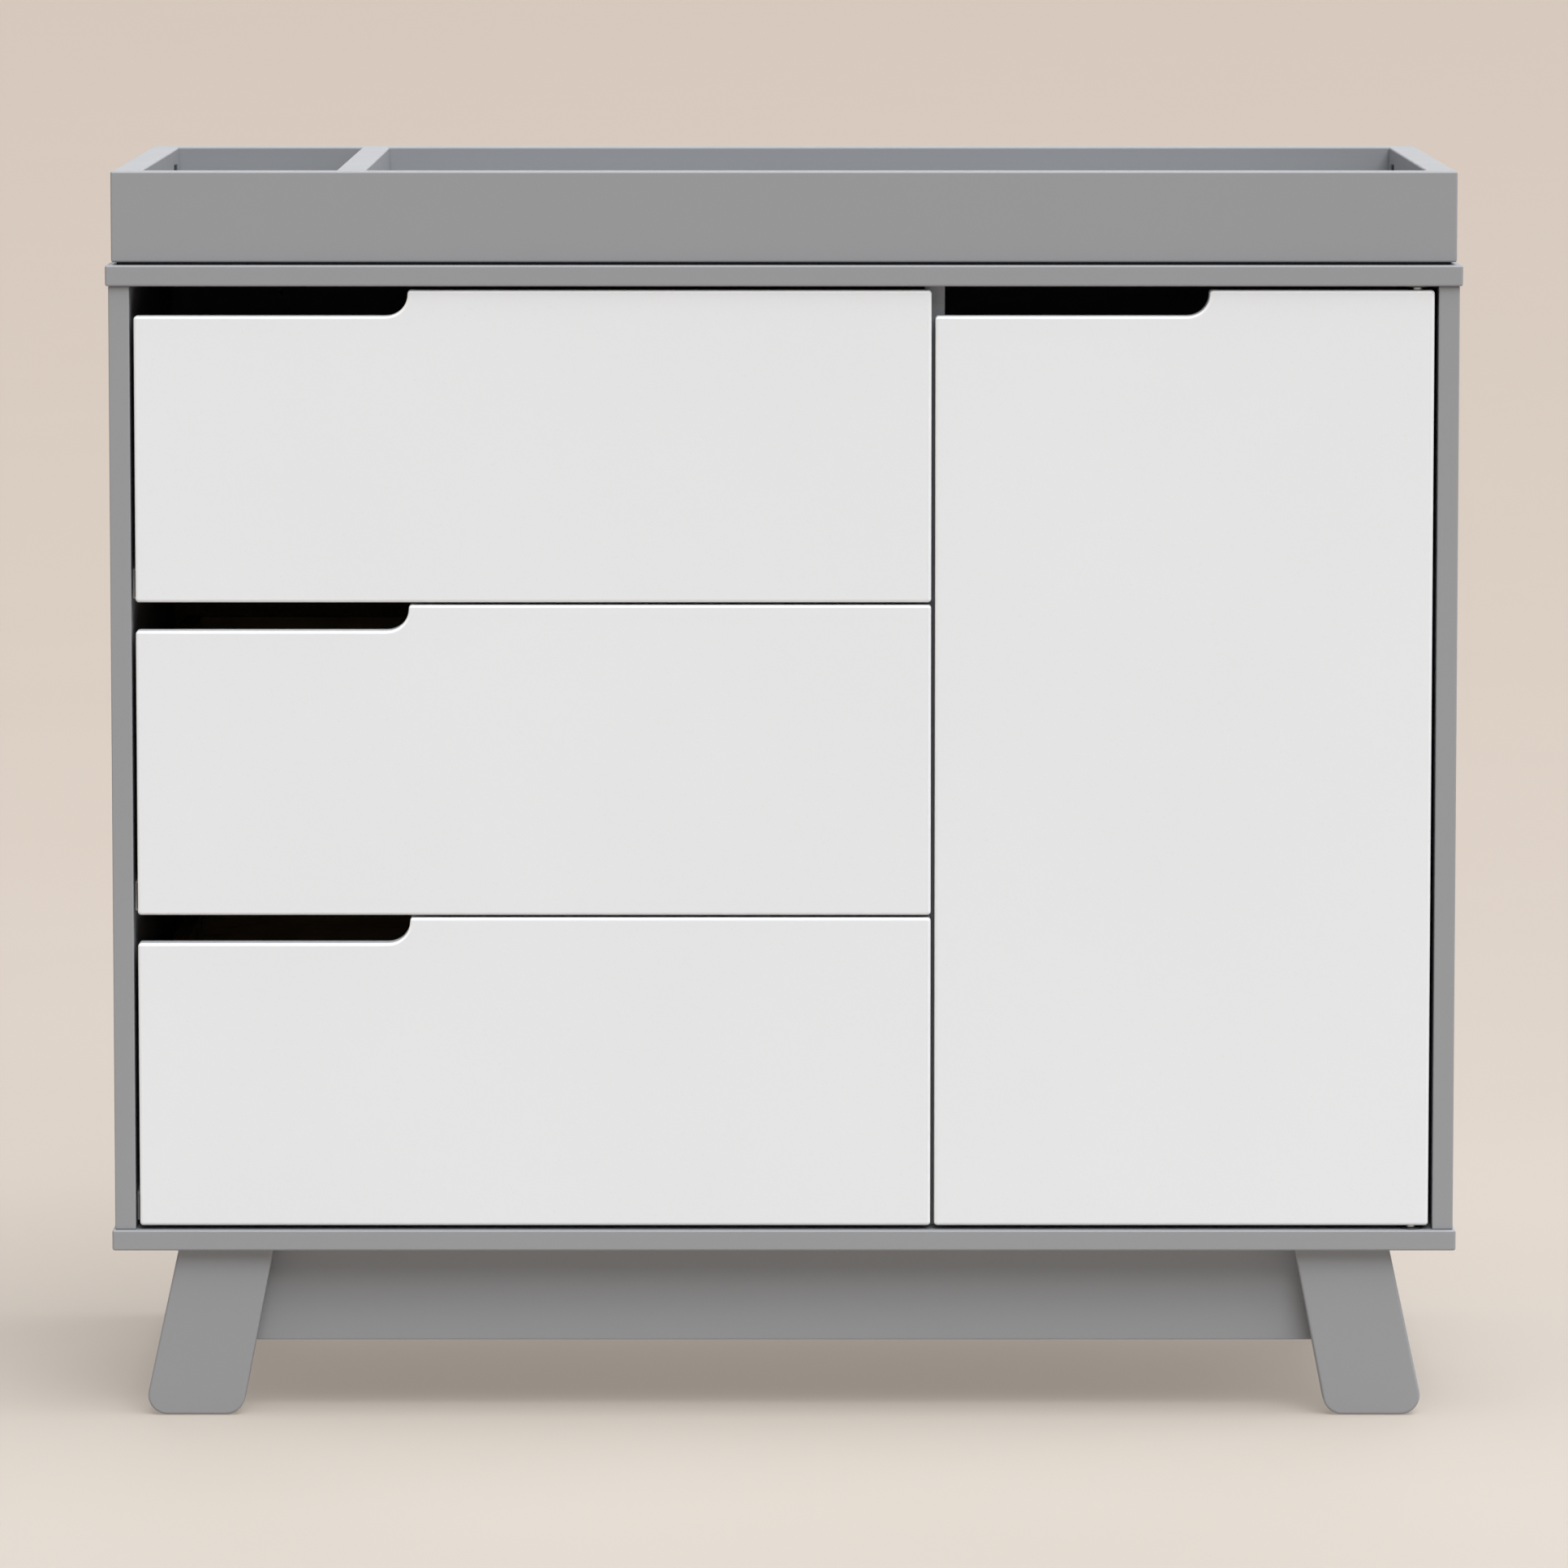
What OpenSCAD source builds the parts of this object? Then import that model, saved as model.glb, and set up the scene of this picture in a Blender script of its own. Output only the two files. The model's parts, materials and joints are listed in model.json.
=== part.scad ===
// Changing table: a dresser with three drawers, one cupboard and an open tray on top.
// Millimetres. Origin on the floor under the middle of the dresser, -Y is the front, +Z is up.

/* [Carcass] */
// Width over the top and bottom boards
board_w = 975; // [960:5:1020]
// Depth over the top and bottom boards
board_d = 476; // [470:2:500]
// Thickness of the carcass boards
board_t = 15; // [14.5:0.5:16]
// Clear height between the bottom and top boards
bay_h = 685; // [679:3:715]
// How far the boards stand out past each side panel
side_overhang = 2; // [1:0.5:4]
// How far the boards stand out in front of the side panels
front_overhang = 3.5; // [2.5:0.5:5]
// Thickness of the back panel
back_t = 3; // [3:0.5:4]
// Sideways place of the upright partition's middle
partition_x = 108.5; // [100:0.5:115]
// Height of the rails that take the wall anchors
wall_rail_h = 60; // [50:5:70]

/* [Fronts] */
// Thickness of the drawer fronts and the door
front_t = 18; // [16:0.5:18]
// Gap between the fronts and the boards and side panels
edge_gap = 3; // [3:0.5:4]
// Gap between one drawer front and the next
drawer_gap = 2; // [2:0.5:3]
// Gap between the drawer fronts and the door
middle_gap = 2.8; // [2.5:0.1:4]
// Depth of the finger notch
notch_h = 18.7; // [18.7:0.1:22]
// Length of the finger notch
notch_w = 197; // [150:1:220]
// Radius where the notch floor turns up
notch_r = 16; // [10:0.5:16]
// Radius where the notch end meets the front's top edge
notch_lip_r = 2.5; // [1:0.1:2.5]

/* [Drawers] */
// Depth of the drawer box behind its front
box_d = 400; // [380:5:405]
// Height of the drawer box sides
box_h = 160; // [120:5:165]
// Thickness of the drawer box sides and back
box_t = 12; // [11:0.5:14]
// Thickness of the drawer bottom
bottom_t = 4; // [3:0.5:5]
// Radius of the runner rollers
roller_r = 8; // [7:0.25:8]

/* [Cupboard] */
// Depth of the two shelves
shelf_d = 405; // [380:5:410]
// Radius of the door's pivot pins
pivot_r = 3; // [2.5:0.25:3.5]
// Distance from the door's edge to its pivot axis
pivot_inset = 12; // [11.5:0.5:12]

/* [Tray] */
// Width of the tray
tray_w = 967; // [955:1:970]
// Depth of the tray
tray_d = 462; // [450:1:466]
// Height of the tray's rails
tray_h = 65; // [60:1:100]
// Thickness of the tray's rails
tray_t = 21; // [18:0.5:24]
// Clear width of the tray's small bay
small_bay_w = 140; // [120:5:200]
// Gap under the tray, filled by its pads
pad_t = 2; // [1.8:0.1:3]

/* [Base] */
// Height of the base
leg_h = 123; // [115:1:130]
// Width of a leg at its top
leg_top_w = 69; // [64:1:72]
// Width of a leg at the floor
leg_foot_w = 71.5; // [66:0.5:74]
// Thickness of a leg
leg_t = 22; // [20:0.5:24]
// Distance from the middle of the dresser to the inner edge of a leg at its top
leg_x = 371; // [360:1:375]
// How far a leg leans out from its top to the floor
leg_splay = 24; // [20:1:30]
// Corner radius of the feet
foot_r = 14; // [8:1:15]
// How far the legs stand back from the edge of the bottom board
leg_setback = 12; // [8:1:16]
// Height of the aprons
apron_h = 71; // [65:1:75]
// Thickness of the aprons and base rails
apron_t = 18; // [15:0.5:18]

/* [Hidden] */
$fn = 48;

GREY = [0.42, 0.43, 0.45];
WHITE = [0.93, 0.93, 0.92];
PLY = [0.78, 0.66, 0.48];
STEEL = [0.72, 0.73, 0.75];
DARK = [0.1, 0.1, 0.11];
NYLON = [0.9, 0.9, 0.86];

// Clearances: a shaft in its hole, a small part in its seat, a panel in its groove
shaft_play = 0.05;
seat_play = 0.05;
groove_play = 0.1;
// Clearance between parts that roll or slide past each other
run_play = 0.3;

// Levels of the carcass
bay_z = leg_h + board_t;
bay_top = bay_z + bay_h;
top_z = bay_top + board_t;
tray_z = top_z + pad_t;

// Planes of the carcass
front_y = -board_d / 2 + front_overhang;
inner_back_y = board_d / 2 - back_t;
fronts_back_y = front_y + front_t;
side_x = board_w / 2 - side_overhang;
bay_x = side_x - board_t;
partition_left = partition_x - board_t / 2;
partition_right = partition_x + board_t / 2;
partition_y = fronts_back_y + 2.5;

// Fronts
fronts_x = bay_x - edge_gap;
fronts_z = bay_z + edge_gap;
fronts_h = bay_h - 2 * edge_gap;
drawer_front_h = (fronts_h - 2 * drawer_gap) / 3;
split_x = partition_x - 1;
drawer_right_x = split_x - middle_gap / 2;
door_left_x = split_x + middle_gap / 2;
drawer_front_w = drawer_right_x + fronts_x;
door_w = fronts_x - door_left_x;

// Drawer boxes and their runners
steel_t = 1.2;
runner_gap = 12.5;
box_left = -bay_x + runner_gap;
box_right = partition_left - runner_gap;
box_lift = 20;
box_back_y = fronts_back_y + box_d;
groove_depth = 6;
bottom_lift = 10;
roller_w = 6.8;
axle_r = 2.5;
axle_drop = steel_t + run_play + roller_r;
flange_w = 9;
rear_roller_y = box_back_y - 14;
front_roller_y = fronts_back_y + 12.5;
runner_web_h = 15;
tab_l = 26;

// Cupboard
shelf_t = board_t;
shelf_y = inner_back_y - shelf_d - 15;
shelf_pin_r = 2.5;
shelf_pin_hole = 9;
pin_pitch = 32;
hole_rows = [shelf_y + 40, shelf_y + shelf_d - 40];
shelf_levels = [bay_z + bay_h / 3, bay_z + 2 * bay_h / 3];
pivot_x = fronts_x - pivot_inset;
pivot_y = front_y + 8;
bush_r = 5;
bush_depth = 10;
bush_flange_r = 8;
bush_flange_t = 1;
catch_z = bay_top - 90;
catch_size = [15, 30, 36];

// Base
leg_lift = 0.5;
leg_front_y = -board_d / 2 + leg_setback;
apron_front_y = leg_front_y + leg_t;
apron_half_w = leg_x + leg_top_w - 15;
apron_z = leg_h - apron_h;
rail_h = 58;
glide_r = 8;
bolt_r = 3;
bolt_x = leg_x + leg_top_w / 2 + 4;
bolt_levels = [leg_h - 20, leg_h - 50];
bolt_bite = 15;

// Fasteners
cam_r = 7.5;
cam_t = 12;
cam_edge = 34;
cam_y = 175;
screw_r = 2;
screw_head_r = 4;
screw_l = 32;
anchor_pitch = 400;

function drawer_z(i) = fronts_z + (3 - i) * (drawer_front_h + drawer_gap);
function box_z(i) = drawer_z(i) + box_lift;

// Points of the arc of radius r that rounds the corner b between a and c
function corner_arc(a, b, c, r, steps = 10) =
    let(u = (a - b) / norm(a - b), v = (c - b) / norm(c - b),
        half = acos(u * v) / 2,
        centre = b + (u + v) / norm(u + v) * r / sin(half),
        start = b + u * r / tan(half) - centre,
        finish = b + v * r / tan(half) - centre,
        from = atan2(start.y, start.x),
        sweep = atan2(finish.y, finish.x) - from,
        turn = sweep > 180 ? sweep - 360 : sweep < -180 ? sweep + 360 : sweep)
    [for (k = [0:steps]) centre + r * [cos(from + turn * k / steps), sin(from + turn * k / steps)]];

// Outline through corners given as [x, y, radius], where radius 0 keeps the corner sharp
function rounded_outline(corners) =
    let(n = len(corners), p = [for (c = corners) [c.x, c.y]])
    [for (i = [0:n - 1]) each
        corners[i].z == 0 ? [p[i]] :
        corner_arc(p[(i + n - 1) % n], p[i], p[(i + 1) % n], corners[i].z)];

// Box between two opposite corners
module block(low, high) {
    translate(low) cube(high - low);
}

// Rod along X, Y or Z from the point given
module rod_x(p, r, l) {
    translate(p) rotate([0, 90, 0]) cylinder(h = l, r = r);
}
module rod_y(p, r, l) {
    translate(p) rotate([-90, 0, 0]) cylinder(h = l, r = r);
}
module rod_z(p, r, l) {
    translate(p) cylinder(h = l, r = r);
}

// Upright slab whose outline lies in X and Z and whose front face is at y
module slab(outline, y, t) {
    translate([0, y + t, 0]) rotate([90, 0, 0]) linear_extrude(t) polygon(outline);
}

// Its children and their mirror image on the other side of the dresser
module both_sides() {
    children();
    mirror([1, 0, 0]) children();
}

// The left drawer side's children and their mirror image on the right drawer side
module both_drawer_sides() {
    children();
    translate([box_left + box_right, 0, 0]) mirror([1, 0, 0]) children();
}

// Carcass

module pivot_seat(z) {
    rod_z([pivot_x, pivot_y, z], bush_r + seat_play, bush_depth);
}

module top_board() {
    color(GREY) difference() {
        block([-board_w / 2, -board_d / 2, bay_top], [board_w / 2, board_d / 2, top_z]);
        pivot_seat(bay_top);
    }
}

module bottom_board() {
    color(GREY) difference() {
        block([-board_w / 2, -board_d / 2, leg_h], [board_w / 2, board_d / 2, bay_z]);
        pivot_seat(bay_z - bush_depth);
    }
}

// Cams at the four corners of an upright board, entered from the face at x, going the way of side
module cam_set(x, r, side) {
    for (y = [-cam_y, cam_y], z = [bay_z + cam_edge, bay_top - cam_edge])
        rod_x([side > 0 ? x : x - cam_t, y, z], r, cam_t);
}

module left_side_panel() {
    color(GREY) difference() {
        block([-side_x, front_y, bay_z], [-bay_x, inner_back_y, bay_top]);
        cam_set(-bay_x, cam_r + seat_play, -1);
    }
}

// Holes for the shelf pins, entered from the face at x, going the way of side
module shelf_holes(x, side) {
    for (z = shelf_levels, step = [-1:1], y = hole_rows)
        rod_x([side > 0 ? x : x - shelf_pin_hole, y, z - shelf_pin_r + step * pin_pitch],
            shelf_pin_r + seat_play, shelf_pin_hole);
}

module right_side_panel() {
    color(GREY) difference() {
        block([bay_x, front_y, bay_z], [side_x, inner_back_y, bay_top]);
        cam_set(bay_x, cam_r + seat_play, 1);
        shelf_holes(bay_x, 1);
    }
}

module partition_panel() {
    color(GREY) difference() {
        block([partition_left, partition_y, bay_z], [partition_right, inner_back_y, bay_top]);
        cam_set(partition_left, cam_r + seat_play, 1);
        shelf_holes(partition_right, -1);
    }
}

module cam_locks() {
    color(STEEL) {
        cam_set(-bay_x, cam_r, -1);
        cam_set(bay_x, cam_r, 1);
        cam_set(partition_left, cam_r, 1);
    }
}

module back_panel() {
    color(PLY) block([-side_x, inner_back_y, bay_z], [side_x, board_d / 2, bay_top]);
}

module wall_rails() {
    y = inner_back_y - board_t;
    z = bay_top - wall_rail_h;
    middle = (partition_left - bay_x) / 2;
    color(GREY) {
        difference() {
            block([-bay_x, y, z], [partition_left, inner_back_y, bay_top]);
            for (x = [middle - anchor_pitch / 2, middle + anchor_pitch / 2])
                rod_y([x, y - 1, z + wall_rail_h / 2], screw_r, board_t + 2);
        }
        block([partition_right, y, z], [bay_x, inner_back_y, bay_top]);
    }
}

module shelves() {
    color(GREY) for (z = shelf_levels)
        block([partition_right + 1, shelf_y, z], [bay_x - 1, shelf_y + shelf_d, z + shelf_t]);
}

module shelf_pins() {
    reach = 9;
    color(STEEL) for (z = shelf_levels, y = hole_rows) {
        rod_x([bay_x - reach, y, z - shelf_pin_r], shelf_pin_r, reach + shelf_pin_hole - 1);
        rod_x([partition_right - shelf_pin_hole + 1, y, z - shelf_pin_r],
            shelf_pin_r, reach + shelf_pin_hole - 1);
    }
}

// Base

// Right front leg, with its glide seat and bolt holes
module leg() {
    foot_x = leg_x + leg_splay;
    outline = rounded_outline([
        [leg_x, leg_h, 0],
        [leg_x + leg_top_w, leg_h, 0],
        [foot_x + leg_foot_w, leg_lift, foot_r],
        [foot_x, leg_lift, foot_r]]);
    difference() {
        slab(outline, leg_front_y, leg_t);
        rod_z([foot_x + leg_foot_w / 2, leg_front_y + leg_t / 2, 0], glide_r + seat_play, 4);
        for (z = bolt_levels)
            rod_y([bolt_x, apron_front_y - bolt_bite, z], bolt_r + seat_play, bolt_bite + 1);
    }
}

module front_right_leg() {
    color(GREY) leg();
}
module front_left_leg() {
    color(GREY) mirror([1, 0, 0]) leg();
}
module rear_right_leg() {
    color(GREY) mirror([0, 1, 0]) leg();
}
module rear_left_leg() {
    color(GREY) mirror([1, 0, 0]) mirror([0, 1, 0]) leg();
}

module apron() {
    difference() {
        block([-apron_half_w, apron_front_y, apron_z],
            [apron_half_w, apron_front_y + apron_t, leg_h]);
        for (x = [-bolt_x, bolt_x], z = bolt_levels)
            rod_y([x, apron_front_y - 1, z], bolt_r + seat_play, apron_t + 2);
    }
}

module front_apron() {
    color(GREY) apron();
}
module rear_apron() {
    color(GREY) mirror([0, 1, 0]) apron();
}

module base_side_rails() {
    y = -apron_front_y - apron_t;
    x = leg_x + 5;
    color(GREY) both_sides()
        block([x - apron_t, -y, leg_h - rail_h], [x, y, leg_h]);
}

module leg_glides() {
    color(NYLON) for (x = [-1, 1], y = [-1, 1])
        rod_z([x * (leg_x + leg_splay + leg_foot_w / 2), y * (leg_front_y + leg_t / 2), 0],
            glide_r, 4);
}

// One bolt of the front right leg: a shank and a domed hexagon-socket head
module leg_bolt(z) {
    head_r = 5.5;
    head_h = 3.5;
    inner_y = apron_front_y + apron_t;
    difference() {
        union() {
            rod_y([bolt_x, apron_front_y - bolt_bite + 1, z], bolt_r, bolt_bite + apron_t);
            rod_y([bolt_x, inner_y, z], head_r, head_h);
        }
        translate([bolt_x, inner_y + 1, z]) rotate([-90, 0, 0]) cylinder(h = 4, r = 2.2, $fn = 6);
    }
}

module leg_bolts() {
    color(STEEL) both_sides() for (z = bolt_levels) {
        leg_bolt(z);
        mirror([0, 1, 0]) leg_bolt(z);
    }
}

// Drawers and runners

// Outline of a front with a finger notch in its top left corner
function notched_front(x, z, w, h) =
    let(floor_z = z + h - notch_h, end_x = x + notch_w, r = 0.8)
    rounded_outline([
        [x, z, r],
        [x + w, z, r],
        [x + w, z + h, r],
        [end_x, z + h, notch_lip_r],
        [end_x, floor_z, notch_r],
        [x, floor_z, r]]);

module drawer_front(i) {
    z = drawer_z(i);
    groove_z = box_z(i) + bottom_lift;
    color(WHITE) difference() {
        slab(notched_front(-fronts_x, z, drawer_front_w, drawer_front_h), front_y, front_t);
        block([box_left + box_t - groove_depth, fronts_back_y - groove_depth, groove_z],
            [box_right - box_t + groove_depth, fronts_back_y + 1,
                groove_z + bottom_t + 2 * groove_play]);
    }
}

// Cam seats near the front of the left drawer side and screw holes near its back
module side_fixings(i, play) {
    for (z = [box_z(i) + 40, box_z(i) + box_h - 35])
        rod_x([box_left + box_t - 9, fronts_back_y + 24, z], cam_r + play, 9);
    for (z = [box_z(i) + 40, box_z(i) + box_h - 35]) {
        rod_x([box_left, box_back_y - box_t / 2, z], screw_r + play, screw_l);
        rod_x([box_left, box_back_y - box_t / 2, z], screw_head_r + play, 2.5);
    }
}

module left_drawer_side(i) {
    groove_z = box_z(i) + bottom_lift;
    difference() {
        block([box_left, fronts_back_y, box_z(i)],
            [box_left + box_t, box_back_y, box_z(i) + box_h]);
        block([box_left + box_t - groove_depth, fronts_back_y - 1, groove_z],
            [box_left + box_t + 1, box_back_y + 1, groove_z + bottom_t + 2 * groove_play]);
        side_fixings(i, seat_play);
    }
}

module drawer_left_side(i) {
    color(PLY) left_drawer_side(i);
}

module drawer_right_side(i) {
    color(PLY) translate([box_left + box_right, 0, 0]) mirror([1, 0, 0]) left_drawer_side(i);
}

module drawer_back(i) {
    z = box_z(i) + bottom_lift + bottom_t + 2 * groove_play;
    color(PLY) difference() {
        block([box_left + box_t, box_back_y - box_t, z],
            [box_right - box_t, box_back_y, box_z(i) + box_h]);
        both_drawer_sides() side_fixings(i, seat_play);
    }
}

module drawer_bottom(i) {
    z = box_z(i) + bottom_lift + groove_play;
    reach = groove_depth - 0.5;
    color(PLY) block([box_left + box_t - reach, fronts_back_y - reach, z],
        [box_right - box_t + reach, box_back_y, z + bottom_t]);
}

module drawer_fasteners(i) {
    color(STEEL) both_drawer_sides() side_fixings(i, 0);
}

// Drawer member of the left runner: a web on the drawer side, a flange under it that rides on
// the front roller, and a tab at the back that carries the rear roller's axle
module drawer_runner(i) {
    z = box_z(i);
    web_x = box_left - steel_t;
    union() {
        block([web_x, fronts_back_y, z - steel_t], [box_left, box_back_y, z + runner_web_h]);
        block([box_left - steel_t - flange_w, fronts_back_y, z - steel_t],
            [box_left + box_t, box_back_y, z]);
        block([web_x, box_back_y - tab_l, z - axle_drop - axle_r - 2],
            [box_left, box_back_y, z]);
        rod_x([web_x - roller_w - 1.2, rear_roller_y, z - axle_drop],
            axle_r, roller_w + 1.2 + steel_t / 2);
    }
}

module drawer_runners(i) {
    color(STEEL) both_drawer_sides() drawer_runner(i);
}

module roller(x, y, z) {
    difference() {
        rod_x([x, y, z], roller_r, roller_w);
        rod_x([x - 1, y, z], axle_r + shaft_play, roller_w + 2);
    }
}

module drawer_front_rollers(i) {
    x = box_left - runner_gap + 2.2;
    color(NYLON) both_drawer_sides() roller(x, front_roller_y, box_z(i) - axle_drop);
}

module drawer_rear_rollers(i) {
    x = box_left - steel_t - 0.6 - roller_w;
    color(NYLON) both_drawer_sides() roller(x, rear_roller_y, box_z(i) - axle_drop);
}

// Cabinet member of the left runner: a channel with the front roller's axle in it
module cabinet_runner(i) {
    wall_x = box_left - runner_gap;
    floor_z = box_z(i) - axle_drop - roller_r - run_play;
    roof_z = box_z(i) + 1;
    front = fronts_back_y + 2.5;
    back = box_back_y + 4;
    union() {
        block([wall_x, front, floor_z - steel_t], [wall_x + steel_t, back, roof_z + steel_t]);
        block([wall_x, front, floor_z - steel_t], [wall_x + 10.2, back, floor_z]);
        block([wall_x, front, roof_z], [wall_x + 9, back, roof_z + steel_t]);
        rod_x([wall_x + steel_t / 2, front_roller_y, box_z(i) - axle_drop],
            axle_r, roller_w + 2.6);
    }
}

module cabinet_runners() {
    color(STEEL) for (i = [1:3]) both_drawer_sides() cabinet_runner(i);
}

// Door

module door_panel() {
    bore_l = 22;
    color(WHITE) difference() {
        slab(notched_front(door_left_x, fronts_z, door_w, fronts_h), front_y, front_t);
        for (z = [fronts_z - 1, fronts_z + fronts_h - bore_l])
            rod_z([pivot_x, pivot_y, z], pivot_r + shaft_play, bore_l + 1);
    }
}

// Lower pivot pin, with a collar between the bush and the door
module pivot_pin() {
    seat_z = bay_z - bush_depth + 2;
    collar_z = bay_z + bush_flange_t + run_play;
    union() {
        rod_z([pivot_x, pivot_y, seat_z], pivot_r, fronts_z + 20 - seat_z);
        rod_z([pivot_x, pivot_y, collar_z], pivot_r + 3, fronts_z - collar_z);
    }
}

// Its children and their mirror image about the middle of the bay's height
module top_and_bottom() {
    children();
    translate([0, 0, bay_z + bay_top]) mirror([0, 0, 1]) children();
}

module door_pivot_pins() {
    color(STEEL) top_and_bottom() pivot_pin();
}

module pivot_bushes() {
    color(DARK) top_and_bottom() difference() {
        union() {
            rod_z([pivot_x, pivot_y, bay_z - bush_depth], bush_r, bush_depth);
            rod_z([pivot_x, pivot_y, bay_z], bush_flange_r, bush_flange_t);
        }
        rod_z([pivot_x, pivot_y, bay_z - bush_depth + 1.5], pivot_r + shaft_play, bush_depth + 1);
    }
}

module door_catch() {
    y = fronts_back_y + steel_t + 0.5;
    color(DARK) block([partition_right, y, catch_z],
        [partition_right + catch_size.x, y + catch_size.y, catch_z + catch_size.z]);
}

module strike_plate() {
    color(STEEL) difference() {
        block([partition_right + 1, fronts_back_y, catch_z + 2],
            [partition_right + catch_size.x - 1, fronts_back_y + steel_t,
                catch_z + catch_size.z - 2]);
        rod_y([partition_right + catch_size.x / 2, fronts_back_y + steel_t / 2,
            catch_z + catch_size.z / 2], 3, 2);
    }
}

// Tray

module tray_long_rail(y) {
    block([-tray_w / 2, y, tray_z], [tray_w / 2, y + tray_t, tray_z + tray_h]);
}

// Screws that hold the ends and the divider to the back rail
module tray_screw_set(play) {
    divider_mid = -tray_w / 2 + 1.5 * tray_t + small_bay_w;
    for (x = [-(tray_w - tray_t) / 2, divider_mid, (tray_w - tray_t) / 2], z = [18, 47]) {
        rod_y([x, tray_d / 2 - screw_l - 8, tray_z + z], screw_r + play, screw_l + 8);
        rod_y([x, tray_d / 2 - 2.5, tray_z + z], screw_head_r + play, 2.5);
    }
}

module tray_front() {
    color(GREY) tray_long_rail(-tray_d / 2);
}

module tray_back() {
    color(GREY) difference() {
        tray_long_rail(tray_d / 2 - tray_t);
        tray_screw_set(seat_play);
    }
}

// Cross rail between the front and back rails, with its left face at x
module tray_cross_rail(x) {
    difference() {
        block([x, -tray_d / 2 + tray_t, tray_z],
            [x + tray_t, tray_d / 2 - tray_t, tray_z + tray_h]);
        tray_screw_set(seat_play);
    }
}

module tray_left_end() {
    color(GREY) tray_cross_rail(-tray_w / 2);
}
module tray_right_end() {
    color(GREY) tray_cross_rail(tray_w / 2 - tray_t);
}
module tray_divider() {
    color(GREY) tray_cross_rail(-tray_w / 2 + tray_t + small_bay_w);
}

module tray_screws() {
    color(STEEL) tray_screw_set(0);
}

// Angle brackets that hold the tray's ends to the top board
module tray_brackets() {
    wall_x = tray_w / 2 - tray_t;
    low = [wall_x - 16, 152, top_z];
    color(DARK) both_sides() union() {
        block([wall_x - 1.5, low.y, top_z], [wall_x, low.y + 15, top_z + 56]);
        block(low, [wall_x, low.y + 15, top_z + 1.5]);
    }
}

module tray_pads() {
    inset = 4;
    w = 12;
    x = tray_w / 2 - inset;
    y = tray_d / 2 - inset;
    color(DARK) {
        for (low_y = [-y, y - w])
            block([-x, low_y, top_z], [x, low_y + w, tray_z]);
        both_sides() block([x - w, -y + w, top_z], [x, y - w, tray_z]);
    }
}

top_board();
bottom_board();
left_side_panel();
right_side_panel();
partition_panel();
back_panel();
wall_rails();
shelves();
shelf_pins();
front_left_leg();
front_right_leg();
rear_left_leg();
rear_right_leg();
front_apron();
rear_apron();
base_side_rails();
leg_glides();
leg_bolts();
cam_locks();
cabinet_runners();
pivot_bushes();
door_catch();
door_panel();
door_pivot_pins();
strike_plate();
tray_front();
tray_back();
tray_left_end();
tray_right_end();
tray_divider();
tray_brackets();
tray_screws();
tray_pads();
drawer_front(1);  // drawer_1_front
drawer_left_side(1);  // drawer_1_left_side
drawer_right_side(1);  // drawer_1_right_side
drawer_back(1);  // drawer_1_back
drawer_bottom(1);  // drawer_1_bottom
drawer_runners(1);  // drawer_1_runners
drawer_fasteners(1);  // drawer_1_fasteners
drawer_front_rollers(1);  // drawer_1_front_rollers
drawer_rear_rollers(1);  // drawer_1_rear_rollers
drawer_front(2);  // drawer_2_front
drawer_left_side(2);  // drawer_2_left_side
drawer_right_side(2);  // drawer_2_right_side
drawer_back(2);  // drawer_2_back
drawer_bottom(2);  // drawer_2_bottom
drawer_runners(2);  // drawer_2_runners
drawer_fasteners(2);  // drawer_2_fasteners
drawer_front_rollers(2);  // drawer_2_front_rollers
drawer_rear_rollers(2);  // drawer_2_rear_rollers
drawer_front(3);  // drawer_3_front
drawer_left_side(3);  // drawer_3_left_side
drawer_right_side(3);  // drawer_3_right_side
drawer_back(3);  // drawer_3_back
drawer_bottom(3);  // drawer_3_bottom
drawer_runners(3);  // drawer_3_runners
drawer_fasteners(3);  // drawer_3_fasteners
drawer_front_rollers(3);  // drawer_3_front_rollers
drawer_rear_rollers(3);  // drawer_3_rear_rollers
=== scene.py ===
import json
import math
import random

import bmesh
import bpy
from mathutils import Matrix, Vector
from mathutils.geometry import tessellate_polygon


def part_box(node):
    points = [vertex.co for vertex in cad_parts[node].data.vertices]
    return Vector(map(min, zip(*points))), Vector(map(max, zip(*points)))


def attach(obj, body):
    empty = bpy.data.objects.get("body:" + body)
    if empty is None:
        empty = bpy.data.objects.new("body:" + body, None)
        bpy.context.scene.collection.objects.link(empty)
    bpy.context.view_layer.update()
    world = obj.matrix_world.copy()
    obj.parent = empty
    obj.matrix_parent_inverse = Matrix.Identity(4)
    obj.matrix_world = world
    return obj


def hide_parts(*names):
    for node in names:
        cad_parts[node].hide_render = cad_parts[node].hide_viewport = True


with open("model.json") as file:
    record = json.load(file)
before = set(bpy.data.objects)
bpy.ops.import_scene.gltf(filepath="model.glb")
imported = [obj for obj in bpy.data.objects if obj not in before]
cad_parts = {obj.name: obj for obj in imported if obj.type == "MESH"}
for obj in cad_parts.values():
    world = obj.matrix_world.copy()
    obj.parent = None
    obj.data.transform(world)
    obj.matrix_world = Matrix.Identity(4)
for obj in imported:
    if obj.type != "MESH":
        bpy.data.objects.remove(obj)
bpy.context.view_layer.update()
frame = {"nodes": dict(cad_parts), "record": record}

random.seed(7)
MM = 0.001
RECORD = frame["record"]
BODY_OF = {n: body for body, names in RECORD["behaviour"]["bodies"].items() for n in names}
SLOT_OF = {row["node"]: row["material_slot"] for row in RECORD["subparts"]}
DRAWERS = (1, 2, 3)

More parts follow.
